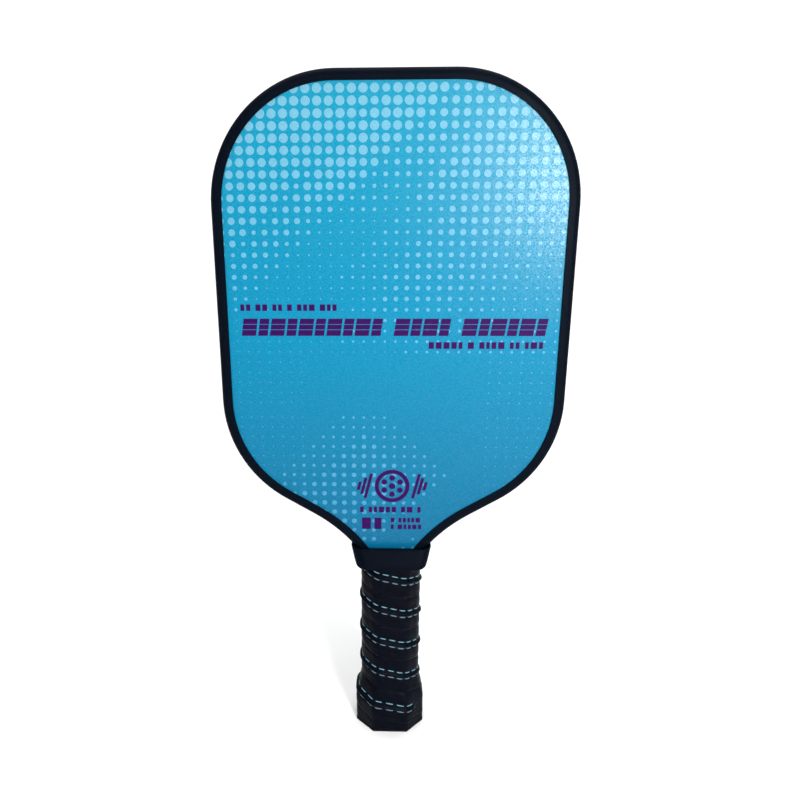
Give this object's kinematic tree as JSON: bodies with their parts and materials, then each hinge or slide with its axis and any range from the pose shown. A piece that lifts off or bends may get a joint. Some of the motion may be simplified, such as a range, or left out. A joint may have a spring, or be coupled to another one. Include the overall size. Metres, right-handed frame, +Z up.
{
  "type": "pickleball paddle",
  "caption": "Wide-body pickleball paddle with a blue dotted face, black edge guard, rubber collar and stitched wrapped grip.",
  "frame": {"origin": "centre of the butt's flat end, at the bottom of the handle", "axes": "+Z up the paddle from the butt to the head's top, -Y out of the front face, +X to the right seen from the front"},
  "size_m": [0.198, 0.035, 0.3945],
  "materials": {
    "core": "translucent polypropylene honeycomb",
    "adhesive": "clear adhesive film and double-sided tape",
    "fiberglass": "glass-fibre and resin laminate",
    "face_print": "sky-blue printed face with paler halftone dots and purple graphics, fine satin grain",
    "edge_guard": "matte black moulded TPU",
    "pallet": "moulded foam plastic",
    "butt_cap": "moulded black plastic",
    "staple": "galvanised steel wire",
    "badge": "plain blank disc",
    "foam": "foam on non-woven backing",
    "grip_leather": "black polyurethane leather, faint wrinkles and perforations",
    "stitching": "pale teal-grey thread",
    "finishing_tape": "black vinyl tape",
    "collar": "matte black rubber"
  },
  "bodies": {
    "root": {"honeycomb_core": "core", "front_adhesive_film": "adhesive", "rear_adhesive_film": "adhesive", "front_face_sheet": "fiberglass", "rear_face_sheet": "fiberglass", "front_print_layer": "face_print", "rear_print_layer": "face_print", "edge_guard": "edge_guard", "edge_guard_tape": "adhesive", "front_handle_pallet": "pallet", "rear_handle_pallet": "pallet", "front_pallet_tape": "adhesive", "rear_pallet_tape": "adhesive", "butt_cap": "butt_cap", "butt_cap_staples": "staple", "butt_end_badge": "badge", "grip_adhesive_strip": "adhesive", "grip_foam_backing": "foam", "grip_leather": "grip_leather", "grip_seam_welt": "grip_leather", "grip_stitching_upper": "stitching", "grip_stitching_lower": "stitching", "finishing_tape": "finishing_tape", "collar": "collar"}
  },
  "joints": []
}
